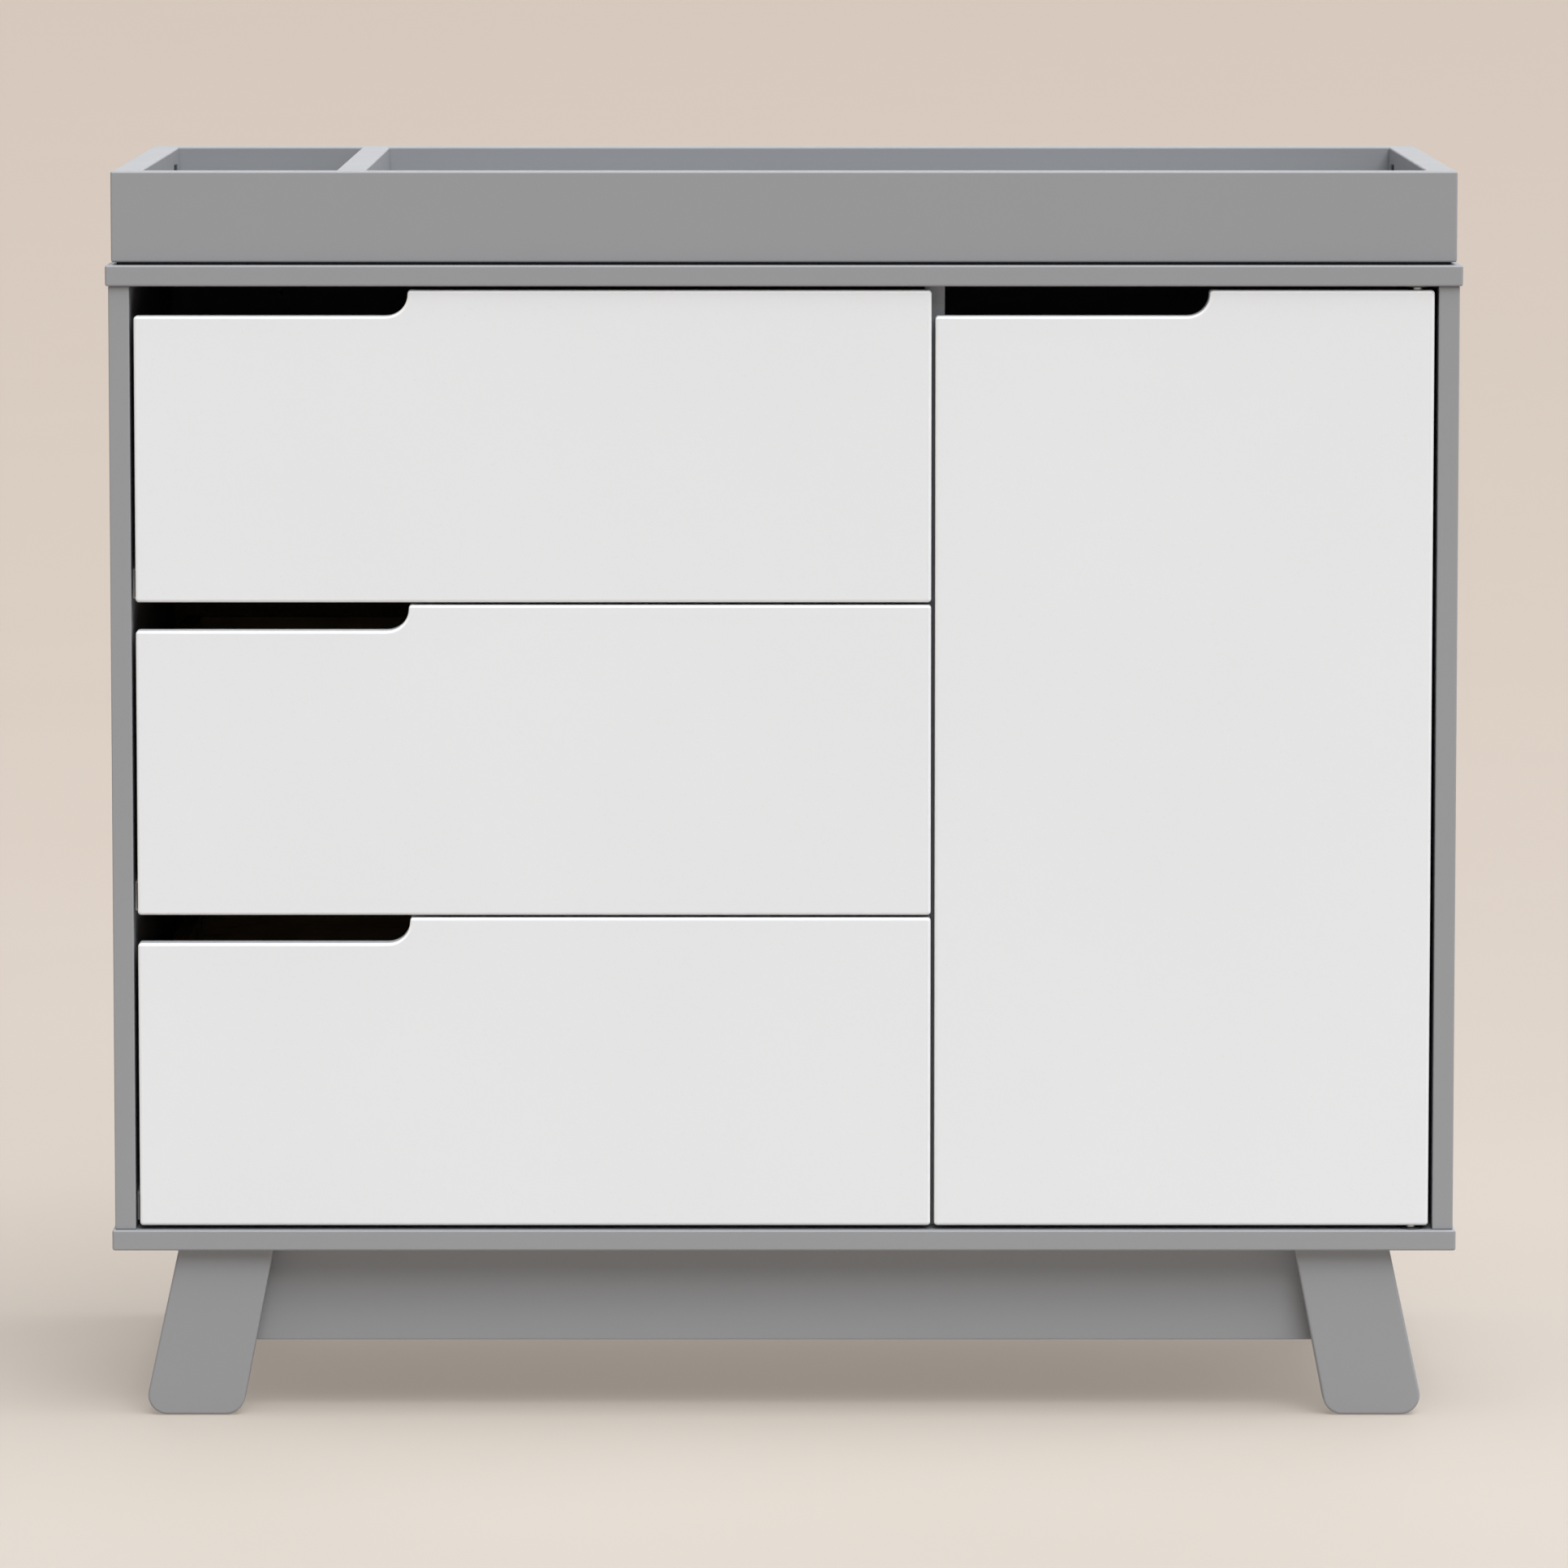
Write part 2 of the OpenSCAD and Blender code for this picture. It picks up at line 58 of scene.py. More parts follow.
# Fronts: the finger notch, the rounding of the corners and of the front and back edges
NOTCH_DEPTH = 18.7 * MM
NOTCH_LENGTH = 197 * MM
NOTCH_RADIUS = 16 * MM
CORNER_RADIUS = 2.4 * MM
FRONT_ROUND = 2.0 * MM
BACK_ROUND = 0.8 * MM

# Shading: which edges get a round, which faces stay flat, which faces blend
SHARP_ANGLE = math.radians(35)
FLAT_AREA = 120 * MM ** 2
SLAB_FLAT_AREA = 600 * MM ** 2
BLEND_COSINE = 0.78

# Fittings, in millimetres: cams, tray screws and the door's pivot pins
CAM_RADIUS = 7.5
CARCASS_CAM_LENGTH = 12
DRAWER_CAM_LENGTH = 9
TRAY_SCREW_LENGTH = 40
PIN_RADIUS = 3
PIN_COLLAR_RADIUS = 3.8
PIN_COLLAR_RISE = 1.3

# Sheet metal, in metres: its thickness and where its screws sit
BRACKET_SHEET = 1.5 * MM
BRACKET_SCREW_HEIGHTS = (0.030, 0.048)
BRACKET_FOOT_SCREW = 8.5 * MM
RUNNER_SHEET = 1.2 * MM
RUNNER_SCREW_HEIGHT = 9 * MM
RUNNER_SCREW_INSET = 0.06
RUNNER_MIDDLE_SCREW = 0.19
CHANNEL_SCREW_INSET = 0.05

# Magnetic catch: its two pole plates and the screws in its side
CATCH_PLATE = (2.2 * MM, 0.6 * MM, 26 * MM)
CATCH_PLATE_INSET = 4.5 * MM
CATCH_SCREW_BACK = 4 * MM
CATCH_SCREW_END = 6 * MM

# Back panel nails: three rows, the middle one on the partition
NAIL_INSET = 0.008
NAIL_END = 0.02
NAIL_STEPS = 8
PARTITION_OFFSET = 0.1085


# Camera: from the front, a little above the tray, with a long lens

AIM = Vector((0, 0, 0.438))
CAMERA_ELEVATION = math.radians(6.18)
CAMERA_DISTANCE = 6.979
LENS_MM = 214.35


def make_camera():
    camera = bpy.data.objects.new("camera", bpy.data.cameras.new("camera"))
    bpy.context.scene.collection.objects.link(camera)
    camera.data.sensor_width = 36
    camera.data.lens = LENS_MM
    camera.data.clip_end = 400
    back = Vector((0, -math.cos(CAMERA_ELEVATION), math.sin(CAMERA_ELEVATION)))
    camera.location = AIM + back * CAMERA_DISTANCE
    camera.rotation_euler = (-back).to_track_quat("-Z", "Y").to_euler()
    bpy.context.scene.camera = camera


# Light: wide suns from above, the front, both sides and the back, and a low even surround

# Name, energy, spread in degrees, the way it shines, whether it shows in gloss
SUNS = (
    ("key", 2.6, 64, (-0.12, 0.15, -1), True),
    ("front_high", 1.5, 36, (-0.3, 1, -1), True),
    ("fill", 0.06, 60, (0, 1, -0.3), True),
    ("left", 0.2, 60, (1, 0.1, -0.45), True),
    ("right", 1.1, 60, (-1, 0.1, -0.85), True),
    ("back", 0.6, 50, (-0.1, -1, -0.25), True),
    ("low_back", 0.75, 50, (-0.1, -1, -0.2), False),
)
SURROUND = 0.12
BACKDROP = (0.665, 0.571, 0.497, 1)


def make_sun(name, energy, spread, towards, glossy):
    lamp = bpy.data.objects.new(name, bpy.data.lights.new(name, "SUN"))
    bpy.context.scene.collection.objects.link(lamp)
    lamp.data.energy = energy
    lamp.data.angle = math.radians(spread)
    lamp.visible_glossy = glossy
    lamp.rotation_euler = Vector(towards).normalized().to_track_quat("-Z", "Y").to_euler()


def make_light():
    for sun in SUNS:
        make_sun(*sun)
    world = bpy.data.worlds.new("studio")
    bpy.context.scene.world = world
    world.use_nodes = True
    tree = world.node_tree
    tree.nodes.clear()
    surround = tree.nodes.new("ShaderNodeBackground")
    surround.inputs["Color"].default_value = (1, 1, 1, 1)
    surround.inputs["Strength"].default_value = SURROUND
    seen = tree.nodes.new("ShaderNodeBackground")
    seen.inputs["Color"].default_value = BACKDROP
    path = tree.nodes.new("ShaderNodeLightPath")
    mix = tree.nodes.new("ShaderNodeMixShader")
    out = tree.nodes.new("ShaderNodeOutputWorld")
    tree.links.new(path.outputs["Is Camera Ray"], mix.inputs[0])
    tree.links.new(surround.outputs[0], mix.inputs[1])
    tree.links.new(seen.outputs[0], mix.inputs[2])
    tree.links.new(mix.outputs[0], out.inputs[0])
    bpy.context.scene.view_settings.view_transform = "Standard"


# Materials

class Shader:
    """A new material and short calls for the nodes that it's made of."""

    def __init__(self, name, metallic=0.0):
        self.material = bpy.data.materials.new(name)
        self.material.use_nodes = True
        self.tree = self.material.node_tree
        self.bsdf = self.tree.nodes["Principled BSDF"]
        self.bsdf.inputs["Metallic"].default_value = metallic
        coordinates = self.tree.nodes.new("ShaderNodeTexCoord")
        self.place, self.normal = coordinates.outputs["Object"], coordinates.outputs["Normal"]

    def put(self, value, socket):
        """Feeds a socket from another node's output, a colour or a number."""
        if hasattr(value, "is_linked"):
            self.tree.links.new(value, socket)
        elif isinstance(value, tuple):
            socket.default_value = (*value, 1)
        else:
            socket.default_value = value

    def stretched(self, x, y, z):
        """Object coordinates scaled along each axis."""
        node = self.tree.nodes.new("ShaderNodeMapping")
        self.tree.links.new(self.place, node.inputs["Vector"])
        node.inputs["Scale"].default_value = (x, y, z)
        return node.outputs[0]

    def noise(self, scale, detail=3.0, place=None, distortion=0.0):
        node = self.tree.nodes.new("ShaderNodeTexNoise")
        self.tree.links.new(place or self.place, node.inputs["Vector"])
        node.inputs["Scale"].default_value = scale
        node.inputs["Detail"].default_value = detail
        node.inputs["Distortion"].default_value = distortion
        return node.outputs["Fac"]

    def ramp(self, value, low, high, new_low=0.0, new_high=1.0):
        """The value, spread from low..high to new_low..new_high and clamped."""
        node = self.tree.nodes.new("ShaderNodeMapRange")
        self.tree.links.new(value, node.inputs["Value"])
        for socket, number in zip(("From Min", "From Max", "To Min", "To Max"),
                                  (low, high, new_low, new_high)):
            node.inputs[socket].default_value = number
        return node.outputs[0]

    def math(self, operation, a, b):
        node = self.tree.nodes.new("ShaderNodeMath")
        node.operation = operation
        self.put(a, node.inputs[0])
        self.put(b, node.inputs[1])
        return node.outputs[0]

    def mix(self, share, a, b):
        node = self.tree.nodes.new("ShaderNodeMix")
        node.data_type = "RGBA"
        self.put(share, node.inputs["Factor"])
        self.put(a, node.inputs[6])
        self.put(b, node.inputs[7])
        return node.outputs[2]

    def attribute(self, name):
        node = self.tree.nodes.new("ShaderNodeAttribute")
        node.attribute_name = name
        return node.outputs["Fac"]

    def bands(self, pitch, axis):
        """Bands of equal width across one axis, 0 or 1."""
        split = self.tree.nodes.new("ShaderNodeSeparateXYZ")
        self.tree.links.new(self.place, split.inputs[0])
        place = self.math("DIVIDE", split.outputs[axis.upper()], pitch)
        return self.math("GREATER_THAN", self.math("FRACT", place, 0.0), 0.5)

    def facing(self, direction, low, high):
        """How far the surface of the piece at rest looks one way, from 0 at low to 1 at high."""
        node = self.tree.nodes.new("ShaderNodeVectorMath")
        node.operation = "DOT_PRODUCT"
        self.tree.links.new(self.normal, node.inputs[0])
        node.inputs[1].default_value = direction
        return self.ramp(node.outputs["Value"], low, high)

    def bump(self, height, distance, strength, normal=None):
        node = self.tree.nodes.new("ShaderNodeBump")
        node.inputs["Distance"].default_value = distance
        node.inputs["Strength"].default_value = strength
        self.tree.links.new(height, node.inputs["Height"])
        if normal:
            self.tree.links.new(normal, node.inputs["Normal"])
        return node.outputs[0]

    def finish(self, color, roughness, normal):
        self.put(color, self.bsdf.inputs["Base Color"])
        self.put(roughness, self.bsdf.inputs["Roughness"])
        self.tree.links.new(normal, self.bsdf.inputs["Normal"])
        return self.material


def scaled(color, factor):
    return tuple(channel * factor for channel in color)


def lacquer(name, color, gloss=0.42, edge_highlight=0.0):
    """Sprayed satin paint on board: a fine orange peel, faint clouding, worn edges and a painted
    highlight on the rounds that face up and to the left.
    """
    s = Shader(name)
    cloud = s.ramp(s.noise(3.5, 4), 0.25, 0.75)
    speck = s.ramp(s.noise(420, 2), 0.62, 0.78)
    base = s.mix(cloud, scaled(color, 0.985), scaled(color, 1.01))
    base = s.mix(s.math("MULTIPLY", speck, 0.12), base, scaled(color, 0.8))
    wear = s.math("MULTIPLY", s.attribute("edge"), s.ramp(s.noise(55, 5), 0.45, 0.75))
    base = s.mix(s.math("MULTIPLY", wear, 0.35), base, scaled(color, 1.14))
    # Painted highlight: the rounds that face up and to the left are painted near white, as if
    # catching the light from above
    painted_highlight = s.math("MULTIPLY", s.attribute("edge"), s.facing((-0.6, 0, 0.8), 0.1, 0.4))
    base = s.mix(s.math("MULTIPLY", painted_highlight, edge_highlight), base, (0.95, 0.955, 0.96))
    rough = s.math("ADD", s.ramp(s.noise(26, 3), 0.3, 0.7, gloss - 0.01, gloss + 0.03),
                   s.math("MULTIPLY", wear, 0.12))
    peel = s.bump(s.noise(650, 2), 0.00012, 0.35)
    grain = s.bump(s.noise(2600, 2), 0.00004, 0.4, peel)
    return s.finish(base, rough, grain)


def timber(name, light, dark, axis="y"):
    """Clear-coated plywood with its grain along one axis and its plies seen on the top edge."""
    s = Shader(name)
    along = {"x": (4, 60, 60), "y": (60, 4, 60)}[axis]
    grain_place = s.stretched(*along)
    bands = s.noise(1.3, 6, grain_place, 0.6)
    pores = s.noise(9, 3, grain_place)
    base = s.mix(s.ramp(bands, 0.3, 0.7), light, dark)
    base = s.mix(s.math("MULTIPLY", s.ramp(pores, 0.6, 0.75), 0.5), base, scaled(dark, 0.6))
    plies = s.bands(0.0024, "y" if axis == "x" else "x")
    upward = s.facing((0, 0, 1), 0.7, 0.9)
    shown = s.math("MULTIPLY", s.math("MULTIPLY", plies, upward), 0.55)
    base = s.mix(shown, base, scaled(dark, 0.5))
    base = s.mix(s.math("MULTIPLY", s.attribute("edge"), 0.25), base, scaled(light, 1.1))
    rough = s.ramp(pores, 0.3, 0.7, 0.48, 0.62)
    return s.finish(base, rough, s.bump(pores, 0.0002, 0.35))


def hardboard(name, color):
    """Pressed fibre board with a printed face: short flecks and a slight nap."""
    s = Shader(name)
    flecks = s.noise(310, 4, s.stretched(1, 2.2, 1))
    base = s.mix(s.ramp(flecks, 0.35, 0.7), scaled(color, 0.86), scaled(color, 1.08))
    base = s.mix(s.math("MULTIPLY", s.ramp(s.noise(9, 4), 0.4, 0.7), 0.3), base, scaled(color, 0.9))
    return s.finish(base, s.ramp(flecks, 0.3, 0.7, 0.6, 0.78), s.bump(flecks, 0.0002, 0.5))


def metal(name, color, low, high, metallic=1.0):
    """Metal with drawing lines along X, stains and a mottled sheen."""
    s = Shader(name, metallic)
    lines = s.noise(1.0, 3, s.stretched(12, 900, 900))
    stain = s.noise(70, 4)
    base = s.mix(s.ramp(stain, 0.35, 0.7), scaled(color, 0.86), color)
    base = s.mix(s.math("MULTIPLY", s.attribute("edge"), 0.4), base, scaled(color, 1.12))
    rough = s.ramp(stain, 0.3, 0.7, low, high)
    return s.finish(base, rough, s.bump(lines, 0.00005, 0.4))


def moulded(name, color, low, high):
    """Moulded plastic: a fine spark texture with rubbed edges."""
    s = Shader(name)
    grain = s.noise(1400, 2)
    base = s.mix(s.ramp(s.noise(40, 3), 0.3, 0.7), scaled(color, 0.93), color)
    base = s.mix(s.math("MULTIPLY", s.attribute("edge"), 0.3), base, scaled(color, 1.15))
    return s.finish(base, s.ramp(grain, 0.3, 0.7, low, high), s.bump(grain, 0.00006, 0.5))


def dense_foam(name, color):
    """Closed-cell foam pad: dark cells with a matt, pitted face."""
    s = Shader(name)
    cells = s.noise(900, 3)
    base = s.mix(s.ramp(cells, 0.4, 0.6), scaled(color, 0.7), scaled(color, 1.3))
    return s.finish(base, s.ramp(cells, 0.3, 0.7, 0.75, 0.95), s.bump(cells, 0.0003, 0.8))


MATERIALS = {
    "grey_lacquer": lacquer("grey_lacquer", (0.290, 0.300, 0.318)),
    "white_lacquer": lacquer("white_lacquer", (0.77, 0.795, 0.825), 0.38, 0.9),
    "drawer_wood": timber("drawer_wood", (0.68, 0.54, 0.37), (0.56, 0.42, 0.27)),
    "drawer_back_wood": timber("drawer_back_wood", (0.66, 0.52, 0.36), (0.55, 0.41, 0.27), "x"),
    "hardboard": hardboard("hardboard", (0.55, 0.43, 0.30)),
    "zinc_steel": metal("zinc_steel", (0.66, 0.67, 0.69), 0.26, 0.42),
    "coated_steel": metal("coated_steel", (0.70, 0.70, 0.69), 0.38, 0.5, metallic=0.0),
    "black_steel": metal("black_steel", (0.04, 0.04, 0.043), 0.4, 0.55, metallic=0.0),
    "nylon": moulded("nylon", (0.80, 0.80, 0.75), 0.38, 0.52),
    "black_plastic": moulded("black_plastic", (0.025, 0.025, 0.028), 0.4, 0.55),
    "felt_pad": dense_foam("felt_pad", (0.04, 0.04, 0.042)),
}


# Shapes

def finished_mesh(shape, name):
    """Turns a bmesh into a mesh whose large flat faces stay flat and whose rounds blend."""
    bmesh.ops.recalc_face_normals(shape, faces=shape.faces)
    mesh = bpy.data.meshes.new(name)
    shape.to_mesh(mesh)
    shape.free()
    flags = mesh.attributes["flat"].data
    flat = [bool(flag.value) for flag in flags]
    around = [[] for _ in mesh.vertices]
    for polygon in mesh.polygons:
        polygon.use_smooth = True
        for v in polygon.vertices:
            around[v].append(polygon)
    normals = []
    for polygon in mesh.polygons:
        for v in polygon.vertices:
            near = [p for p in around[v] if p.normal.dot(polygon.normal) > BLEND_COSINE]
            level = [p for p in near if flat[p.index]]
            if flat[polygon.index] or not near:
                normals.append(polygon.normal.copy())
            else:
                blend = sum((p.normal * p.area for p in level or near), Vector())
                normals.append(blend.normalized())
    mesh.attributes.remove(mesh.attributes["flat"])
    mesh.normals_split_custom_set(normals)
    return mesh


def new_shape():
    """Empty bmesh with the layers that finished_mesh and the materials use."""
    shape = bmesh.new()
    shape.faces.layers.int.new("flat")
    shape.verts.layers.float.new("edge")
    return shape


def ease_edges(shape, width, shortest):
    """Rounds the sharp edges of a bmesh that are longer than shortest, and marks the rounds."""
    flat = shape.faces.layers.int.new("flat")
    layer = shape.verts.layers.float.new("edge")
    sharp = [e for e in shape.edges
             if len(e.link_faces) == 2 and e.calc_length() > shortest
             and e.calc_face_angle(0) > SHARP_ANGLE]
    made = bmesh.ops.bevel(shape, geom=sharp, offset=width, offset_type="OFFSET",
                           segments=3, profile=0.5, affect="EDGES", clamp_overlap=False)
    rounds = set(made["faces"])
    for face in shape.faces:
        face[flat] = int(face not in rounds and face.calc_area() > FLAT_AREA)
    for vert in shape.verts:
        vert[layer] = 1.0 if all(f in rounds for f in vert.link_faces) else 0.0


def arc_points(before, corner, after, radius, steps):
    """Points of the arc that rounds a corner, or the corner itself many times over."""
    if radius < 1e-5:
        return [corner] * (steps + 1)
    to_before, to_after = (before - corner).normalized(), (after - corner).normalized()
    half = to_before.angle(to_after) / 2
    centre = corner + (to_before + to_after).normalized() * (radius / math.sin(half))
    start = corner + to_before * (radius / math.tan(half)) - centre
    finish = corner + to_after * (radius / math.tan(half)) - centre
    sweep = start.angle_signed(finish)
    return [centre + Matrix.Rotation(-sweep * k / steps, 2) @ start for k in range(steps + 1)]


def inset_outline(corners, inset):
    """Counter-clockwise outline through [x, z, radius] corners, moved inwards by inset."""
    points = [Vector(c[:2]) for c in corners]
    count = len(points)
    moved, radii = [], []
    for i, corner in enumerate(points):
        along = (corner - points[i - 1]).normalized()
        onward = (points[(i + 1) % count] - corner).normalized()
        inwards = Vector((-along.y, along.x)), Vector((-onward.y, onward.x))
        both = inwards[0] + inwards[1]
        moved.append(corner + both * inset / (1 + inwards[0].dot(inwards[1])))
        outward_turn = along.x * onward.y - along.y * onward.x > 0
        radii.append(max(0.0, corners[i][2] - inset) if outward_turn else corners[i][2] + inset)
    return [p for i in range(count)
            for p in arc_points(moved[i - 1], moved[i], moved[(i + 1) % count], radii[i], 8)]


def slab_shape(corners, front, back, front_round, back_round):
    """Upright slab with rounded front and back edges, its outline in X and Z."""
    turns = 4
    shape = new_shape()
    flat, edge = shape.faces.layers.int["flat"], shape.verts.layers.float["edge"]
    angles = [math.pi / 2 * k / turns for k in range(turns + 1)]
    profile = [(front_round + 0.3 * MM, front)]
    profile += [(front_round * (1 - math.sin(a)), front + front_round * (1 - math.cos(a)))
                for a in angles]
    profile += [(back_round * (1 - math.cos(a)), back - back_round * (1 - math.sin(a)))
                for a in angles]
    rings = []
    for row, (inset, y) in enumerate(profile):
        ring = [shape.verts.new((p.x, y, p.y)) for p in inset_outline(corners, inset)]
        on_round = 0 < row < turns + 1 or turns + 2 < row < 2 * turns + 2
        for vert in ring:
            vert[edge] = 1.0 if on_round else 0.0
        rings.append(ring)
    for a, b in zip(rings, rings[1:]):
        for k in range(len(a)):
            j = (k + 1) % len(a)
            shape.faces.new((a[k], a[j], b[j], b[k]))
    for ring in (rings[0], rings[-1]):
        shape.faces.new(ring)[flat] = 1
    for face in shape.faces:
        if len(face.verts) == 4 and face.calc_area() > SLAB_FLAT_AREA:
            face[flat] = 1
    bmesh.ops.remove_doubles(shape, verts=shape.verts, dist=0.005 * MM)
    return shape


def facing(point, direction, spin=0.0):
    """Places a shape built along +Z so that it looks the way of direction from point."""
    turn = Vector(direction).to_track_quat("Z", "Y").to_matrix().to_4x4()
    return Matrix.Translation(point) @ turn @ Matrix.Rotation(spin, 4, "Z")


def add_lathe(shape, profile, place, segments=32, closed=False):
    """Turned solid from (radius, height) rows in mm, or a turned ring if closed."""
    rings = []
    for radius, height in profile:
        spots = 1 if radius == 0 else segments
        rings.append([shape.verts.new(place @ Vector((
            radius * MM * math.cos(2 * math.pi * k / segments),
            radius * MM * math.sin(2 * math.pi * k / segments),
            height * MM))) for k in range(spots)])
    pairs = list(zip(rings, rings[1:])) + ([(rings[-1], rings[0])] if closed else [])
    for a, b in pairs:
        for k in range(segments):
            corners = [a[k % len(a)], a[(k + 1) % len(a)], b[(k + 1) % len(b)], b[k % len(b)]]
            shape.faces.new(list(dict.fromkeys(corners)))
    return rings[-1]


def add_cross_head(shape, rim, rim_height, arm, width, depth, place):
    """Closes a turned rim with a flat face that has a cross recess sunk into it, in mm."""
    w, a, taper = width / 2, arm, 0.6
    cross = [(a, -w), (a, w), (w, w), (w, a), (-w, a), (-w, w),
             (-a, w), (-a, -w), (-w, -w), (-w, -a), (w, -a), (w, -w)]
    lip = [shape.verts.new(place @ Vector((x * MM, y * MM, rim_height * MM))) for x, y in cross]
    foot = [shape.verts.new(place @ Vector((
        x * taper * MM, y * taper * MM, (rim_height - depth) * MM))) for x, y in cross]
    loops = [[v.co for v in rim], [v.co for v in lip]]
    corners = rim + lip
    for triangle in tessellate_polygon(loops):
        shape.faces.new([corners[k] for k in triangle])
    for k in range(len(cross)):
        j = (k + 1) % len(cross)
        shape.faces.new((lip[k], lip[j], foot[j], foot[k]))
    shape.faces.new(foot)


def add_screw(shape, place, radius=4.0, shank=2.0, length=32.0):
    """Screw whose head sits in its seat, flush with the board, with a cross recess."""
    rim = add_lathe(shape, [(0, -length), (shank * 0.5, 1.5 - length), (shank, 3.5 - length),
                            (shank, -2.5), (radius, -2.5), (radius, -0.35),
                            (radius - 0.35, 0)], place)
    add_cross_head(shape, rim, 0, radius * 0.55, radius * 0.22, 1.5, place)


def add_pan_head(shape, place, radius, height):
    """Low domed screw head that stands on a face."""
    rim = add_lathe(shape, [(0, 0), (radius, 0), (radius, height * 0.3),
                            (radius * 0.9, height * 0.7), (radius * 0.62, height)], place, 24)
    add_cross_head(shape, rim, height, radius * 0.46, radius * 0.2, height * 0.7, place)


def add_cam(shape, place, radius, length):
    """Cam of a knock-down fitting: a chamfered drum with a groove round its driving cross."""
    rim = add_lathe(shape, [(0, -length), (radius - 0.5, -length), (radius, 0.5 - length),
                            (radius, -0.6), (radius - 0.6, 0), (radius - 1.4, 0),
                            (radius - 1.6, -0.5), (radius - 2.1, -0.5),
                            (radius - 2.3, 0)], place, 40)
    add_cross_head(shape, rim, 0, 3.6, 1.5, 2.6, place)


def add_roller(shape, low, high):
    """Roller on an axle along X: a rounded tyre, a dished face on each side and a bore."""
    half, radius, bore = (high.x - low.x) / 2 / MM, (high.z - low.z) / 2 / MM, 2.55
    side = [(bore, half), (bore + 1.3, half), (bore + 1.6, half - 0.6),
            (radius - 1.9, half - 0.6), (radius - 1.6, half), (radius - 0.6, half),
            (radius - 0.15, half - 0.35), (radius, half - 0.9)]
    profile = side + [(r, -h) for r, h in reversed(side)]
    add_lathe(shape, profile, facing((low + high) / 2, (1, 0, 0)), 48, closed=True)


def islands(node):
    """The (lowest corner, highest corner) of each separate solid of a CAD node."""
    shape = bmesh.new()
    shape.from_mesh(frame["nodes"][node].data)
    bmesh.ops.remove_doubles(shape, verts=shape.verts, dist=0.001 * MM)
    left, boxes = set(shape.verts), []
    while left:
        reached, part = [left.pop()], []
        while reached:
            vert = reached.pop()
            part.append(vert.co.copy())
            near = {e.other_vert(vert) for e in vert.link_edges} & left
            left -= near
            reached += near
        boxes.append((Vector([min(c[i] for c in part) for i in range(3)]),
                      Vector([max(c[i] for c in part) for i in range(3)])))
    shape.free()
    return sorted(boxes, key=lambda pair: tuple(pair[0]))


# Pieces

def add_piece(name, shape, body, slot, stands_for=(), material=None):
    """Makes a visible piece of a bmesh, on its body, in place of the CAD nodes it stands for."""
    mesh = finished_mesh(shape, name)
    mesh.materials.append(MATERIALS[material or slot])
    piece = bpy.data.objects.new(name, mesh)
    bpy.context.scene.collection.objects.link(piece)
    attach(piece, body)
    if stands_for:
        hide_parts(*stands_for)


def eased(node, width=1.4, shortest=3.0, material=None):
    """Stands for a CAD node: its solids with rounded edges, width and shortest in mm."""
    shape = bmesh.new()
    shape.from_mesh(frame["nodes"][node].data)
    bmesh.ops.remove_doubles(shape, verts=shape.verts, dist=0.01 * MM)
    bmesh.ops.dissolve_limit(shape, angle_limit=math.radians(0.5),
                             verts=shape.verts, edges=shape.edges)
    ease_edges(shape, width * MM, shortest * MM)
    add_piece(f"{node}_eased", shape, BODY_OF[node], SLOT_OF[node], [node], material)


def add_heads(name, body, places, radius, height):
    """Domed screw heads on the faces of other pieces, each turned its own way."""
    shape = new_shape()
    for point, direction in places:
        add_pan_head(shape, facing(point, direction, random.uniform(0, math.pi)), radius, height)
    add_piece(name, shape, body, "zinc_steel")


def notched_front(node):
    """A drawer front or the door, with the finger notch in its top left corner."""
    low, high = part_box(node)
    floor_z, end_x = high.z - NOTCH_DEPTH, low.x + NOTCH_LENGTH
    corners = [(low.x, low.z, CORNER_RADIUS), (high.x, low.z, CORNER_RADIUS),
               (high.x, high.z, CORNER_RADIUS), (end_x, high.z, CORNER_RADIUS),
               (end_x, floor_z, NOTCH_RADIUS), (low.x, floor_z, CORNER_RADIUS)]
    shape = slab_shape(corners, low.y, high.y, FRONT_ROUND, BACK_ROUND)
    add_piece(f"{node}_board", shape, BODY_OF[node], SLOT_OF[node], [node])


def build_carcass():
    for node in ("top_board", "bottom_board"):
        eased(node, 1.6)
    for node in ("left_side_panel", "right_side_panel", "partition_panel", "shelves", "wall_rails"):
        eased(node, 1.0)
    eased("back_panel", 0.6)
    low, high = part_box("back_panel")
    rows = [low.x + NAIL_INSET, (low.x + high.x) / 2 + PARTITION_OFFSET, high.x - NAIL_INSET]
    step = (high.z - low.z - 2 * NAIL_END) / NAIL_STEPS
    levels = [low.z + NAIL_END + k * step for k in range(NAIL_STEPS + 1)]
    nails = [((x, high.y, z), (0, 1, 0)) for x in rows for z in levels]
    add_heads("back_panel_nails", "cabinet", nails, 2.2, 0.5)
    shape = new_shape()
    for low, high in islands("cam_locks"):
        in_left_side = low.x < -0.45
        middle = (low + high) / 2
        middle.x = high.x if in_left_side else low.x
        way = (1 if in_left_side else -1, 0, 0)
        place = facing(middle, way, random.uniform(0, math.pi))
        add_cam(shape, place, CAM_RADIUS, CARCASS_CAM_LENGTH)
    add_piece("cam_locks_detail", shape, "cabinet", "zinc_steel", ["cam_locks"])
    eased("shelf_pins", 0.35, 0.2)


def build_base():
    for side in ("front_left", "front_right", "rear_left", "rear_right"):
        eased(f"{side}_leg", 1.8, 1.5)
    for node in ("front_apron", "rear_apron", "base_side_rails"):
        eased(node, 1.0)
    eased("leg_glides", 0.8, 0.6)
    eased("leg_bolts", 0.3, 0.5)


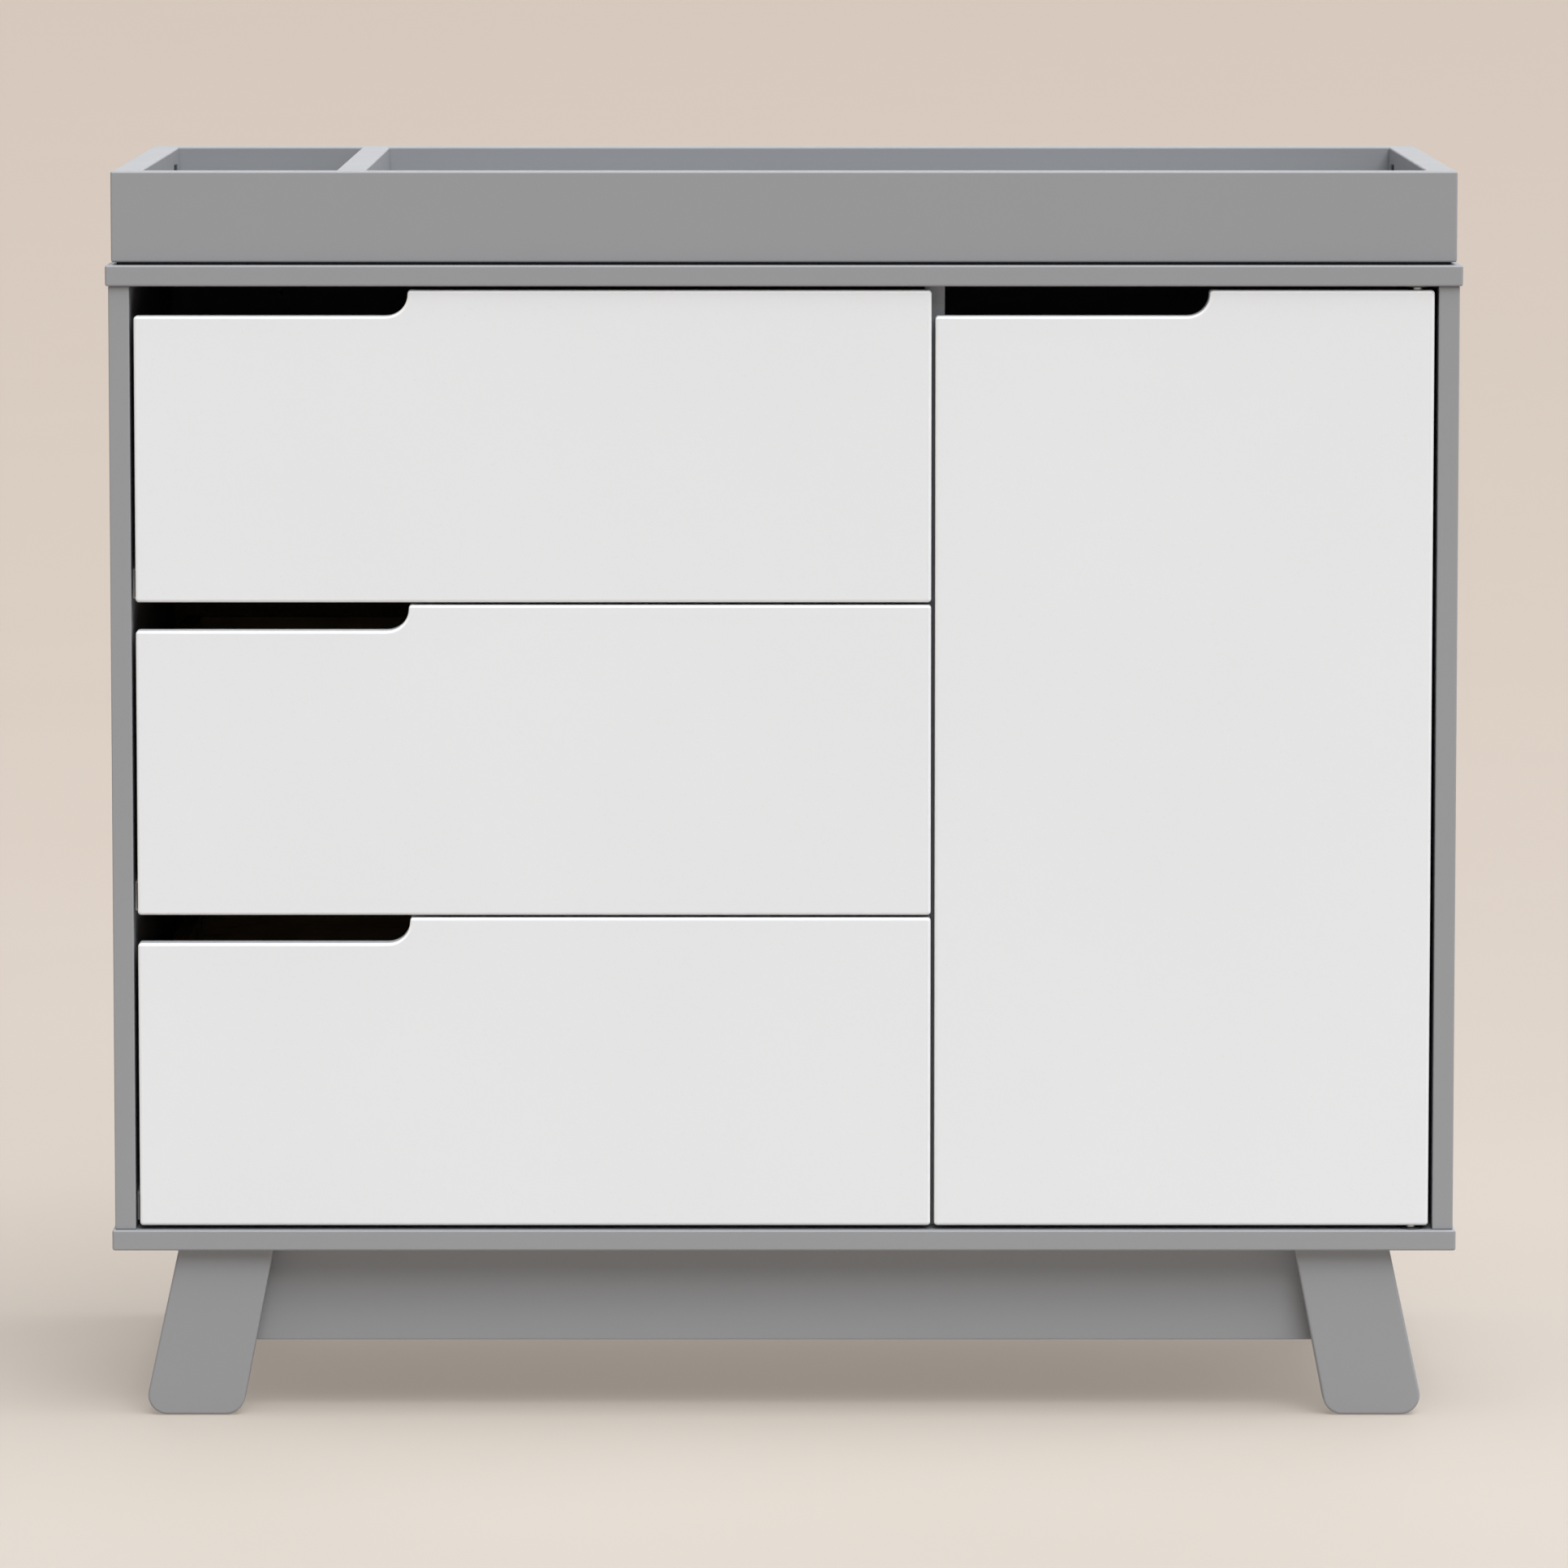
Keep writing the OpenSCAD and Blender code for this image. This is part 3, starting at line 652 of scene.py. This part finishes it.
def build_tray():
    for node in ("tray_front", "tray_back", "tray_left_end", "tray_right_end", "tray_divider"):
        eased(node, 1.4)
    eased("tray_pads", 0.4)
    eased("tray_brackets", 0.4, 1.0)
    shape = new_shape()
    for low, high in islands("tray_screws"):
        middle = (low + high) / 2
        middle.y = high.y
        place = facing(middle, (0, 1, 0), random.uniform(0, math.pi))
        add_screw(shape, place, length=TRAY_SCREW_LENGTH)
    add_piece("tray_screws_detail", shape, "cabinet", "zinc_steel", ["tray_screws"])
    heads = []
    for low, high in islands("tray_brackets"):
        middle = (low + high) / 2
        inward = 1 if middle.x < 0 else -1
        face_x = low.x + BRACKET_SHEET if middle.x < 0 else high.x - BRACKET_SHEET
        heads += [((face_x, middle.y, low.z + up), (inward, 0, 0))
                  for up in BRACKET_SCREW_HEIGHTS]
        foot_x = face_x + inward * BRACKET_FOOT_SCREW
        heads.append(((foot_x, middle.y, low.z + BRACKET_SHEET), (0, 0, 1)))
    add_heads("tray_bracket_screws", "cabinet", heads, 2.6, 1.2)


def add_pivot_pins():
    """The door's two pins, each with a chamfered tip and a low collar in the gap."""
    shape = new_shape()
    pins = islands("door_pivot_pins")
    start = pins[0][0].z
    first = (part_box("bottom_board")[1].z - start) / MM + PIN_COLLAR_RISE
    last = (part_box("door_panel")[0].z - start) / MM
    tip = PIN_RADIUS - 0.5
    for low, high in pins:
        upper = low.z > 0.4
        middle = (low + high) / 2
        middle.z = high.z if upper else low.z
        length = (high.z - low.z) / MM
        add_lathe(shape, [(0, 0), (tip, 0), (PIN_RADIUS, 0.5), (PIN_RADIUS, first),
                          (PIN_COLLAR_RADIUS, first), (PIN_COLLAR_RADIUS, last),
                          (PIN_RADIUS, last), (PIN_RADIUS, length - 0.5), (tip, length),
                          (0, length)],
                  facing(middle, (0, 0, -1 if upper else 1)))
    add_piece("door_pivot_pins_turned", shape, "door", "zinc_steel", ["door_pivot_pins"])


def build_door():
    notched_front("door_panel")
    add_pivot_pins()
    eased("pivot_bushes", 0.25, 0.3)
    eased("door_catch", 2.0)
    low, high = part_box("door_catch")
    shape = new_shape()
    for x in (low.x + CATCH_PLATE_INSET, high.x - CATCH_PLATE_INSET):
        plate = bmesh.ops.create_cube(shape, size=1, matrix=Matrix.Translation(
            (x, low.y, (low.z + high.z) / 2)) @ Matrix.Diagonal((*CATCH_PLATE, 1)))
        edges = {e for v in plate["verts"] for e in v.link_edges}
        bmesh.ops.bevel(shape, geom=list(edges), offset=0.15 * MM, segments=2, affect="EDGES")
    add_piece("door_catch_poles", shape, "cabinet", "zinc_steel")
    side = [((high.x, (low.y + high.y) / 2 + CATCH_SCREW_BACK, z), (1, 0, 0))
            for z in (low.z + CATCH_SCREW_END, high.z - CATCH_SCREW_END)]
    add_heads("door_catch_screws", "cabinet", side, 2.8, 1.4)
    eased("strike_plate", 0.35, 0.3)
    low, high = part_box("strike_plate")
    shape = new_shape()
    place = facing(((low.x + high.x) / 2, high.y, (low.z + high.z) / 2), (0, 1, 0), 0.6)
    add_screw(shape, place, 2.9, 1.4, 12)
    add_piece("strike_plate_screw", shape, "door", "zinc_steel")


def build_drawer(i):
    body = f"drawer_{i}"
    notched_front(f"{body}_front")
    for part in ("left_side", "right_side"):
        eased(f"{body}_{part}", 0.8)
    eased(f"{body}_back", 0.8, material="drawer_back_wood")
    eased(f"{body}_bottom", 0.4)
    shape = new_shape()
    inner = (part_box(f"{body}_left_side")[1].x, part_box(f"{body}_right_side")[0].x)
    outer = (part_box(f"{body}_left_side")[0].x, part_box(f"{body}_right_side")[1].x)
    for low, high in islands(f"{body}_fasteners"):
        middle = (low + high) / 2
        left = middle.x < sum(inner) / 2
        spin = random.uniform(0, math.pi)
        is_cam = high.y - low.y > 12 * MM
        if is_cam:
            middle.x = inner[0] if left else inner[1]
            place = facing(middle, (1 if left else -1, 0, 0), spin)
            add_cam(shape, place, CAM_RADIUS, DRAWER_CAM_LENGTH)
        else:
            middle.x = outer[0] if left else outer[1]
            add_screw(shape, facing(middle, (-1 if left else 1, 0, 0), spin))
    add_piece(f"{body}_fasteners_detail", shape, body, "zinc_steel", [f"{body}_fasteners"])
    for end in ("front", "rear"):
        node = f"{body}_{end}_rollers"
        shape = new_shape()
        for low, high in islands(node):
            add_roller(shape, low, high)
        add_piece(f"{node}_detail", shape, BODY_OF[node], "nylon", [node])
    eased(f"{body}_runners", 0.3, 1.5)
    low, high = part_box(f"{body}_left_side")
    heads = []
    z = low.z + RUNNER_SCREW_HEIGHT
    for y in (low.y + RUNNER_SCREW_INSET, low.y + RUNNER_MIDDLE_SCREW, high.y - RUNNER_SCREW_INSET):
        heads += [((outer[0] - RUNNER_SHEET, y, z), (-1, 0, 0)),
                  ((outer[1] + RUNNER_SHEET, y, z), (1, 0, 0))]
    add_heads(f"{body}_runner_screws", body, heads, 3.0, 1.0)


def build_cabinet_runners():
    eased("cabinet_runners", 0.3, 1.5)
    heads = []
    for low, high in islands("cabinet_runners"):
        left = low.x < -0.3
        face_x = low.x + RUNNER_SHEET if left else high.x - RUNNER_SHEET
        for y in (low.y + CHANNEL_SCREW_INSET, (low.y + high.y) / 2, high.y - CHANNEL_SCREW_INSET):
            heads.append(((face_x, y, (low.z + high.z) / 2), (1 if left else -1, 0, 0)))
    add_heads("cabinet_runner_screws", "cabinet", heads, 3.2, 1.0)


def paint_cad_nodes():
    """Gives every CAD node the material of its slot."""
    for name, node in frame["nodes"].items():
        node.data.materials.clear()
        node.data.materials.append(MATERIALS[SLOT_OF[name]])


# Floor: pale plaster that glows a little, a painted light that keeps its shade soft, and a painted
# pool of light that is brightest near the front right and darkens with distance

FLOOR_HALF = 150.0
FLOOR_PAINTED_LIT = (0.302, 0.28, 0.256)
FLOOR_PAINTED_DIM = (0.205, 0.158, 0.13)
FLOOR_GLOW = (0.27, 0.237, 0.206, 1)
PAINTED_LIGHT_CENTRE = (0.5, -1.2, 0)
PAINTED_LIGHT_REACH = 3.0


def make_floor():
    half = FLOOR_HALF
    mesh = bpy.data.meshes.new("floor")
    mesh.from_pydata([(-half, -half, 0), (half, -half, 0), (half, half, 0), (-half, half, 0)],
                     [], [(0, 1, 2, 3)])
    floor = bpy.data.objects.new("floor", mesh)
    bpy.context.scene.collection.objects.link(floor)
    s = Shader("floor_plaster")
    # Painted light: the floor glows, lifting the shade under and around the piece
    s.bsdf.inputs["Emission Color"].default_value = FLOOR_GLOW
    s.bsdf.inputs["Emission Strength"].default_value = 1.0
    apart = s.tree.nodes.new("ShaderNodeVectorMath")
    apart.operation = "DISTANCE"
    s.tree.links.new(s.place, apart.inputs[0])
    apart.inputs[1].default_value = PAINTED_LIGHT_CENTRE
    distance = apart.outputs["Value"]
    # Painted light falloff: the floor colour goes from the lit tone to the dim tone with distance
    # from a point in front and to the right
    painted_falloff = s.math("DIVIDE", distance, s.math("ADD", distance, PAINTED_LIGHT_REACH))
    base = s.mix(s.ramp(painted_falloff, 0.25, 0.97), FLOOR_PAINTED_LIT, FLOOR_PAINTED_DIM)
    clouds = s.math("MULTIPLY", s.ramp(s.noise(1.6, 5), 0.35, 0.7), 0.1)
    base = s.mix(clouds, base, scaled(FLOOR_PAINTED_DIM, 0.9))
    mesh.materials.append(s.finish(base, 0.85, s.bump(s.noise(60, 4), 0.0004, 0.3)))


make_camera()
make_light()
make_floor()
paint_cad_nodes()
build_carcass()
build_base()
build_tray()
build_door()
build_cabinet_runners()
for drawer in DRAWERS:
    build_drawer(drawer)
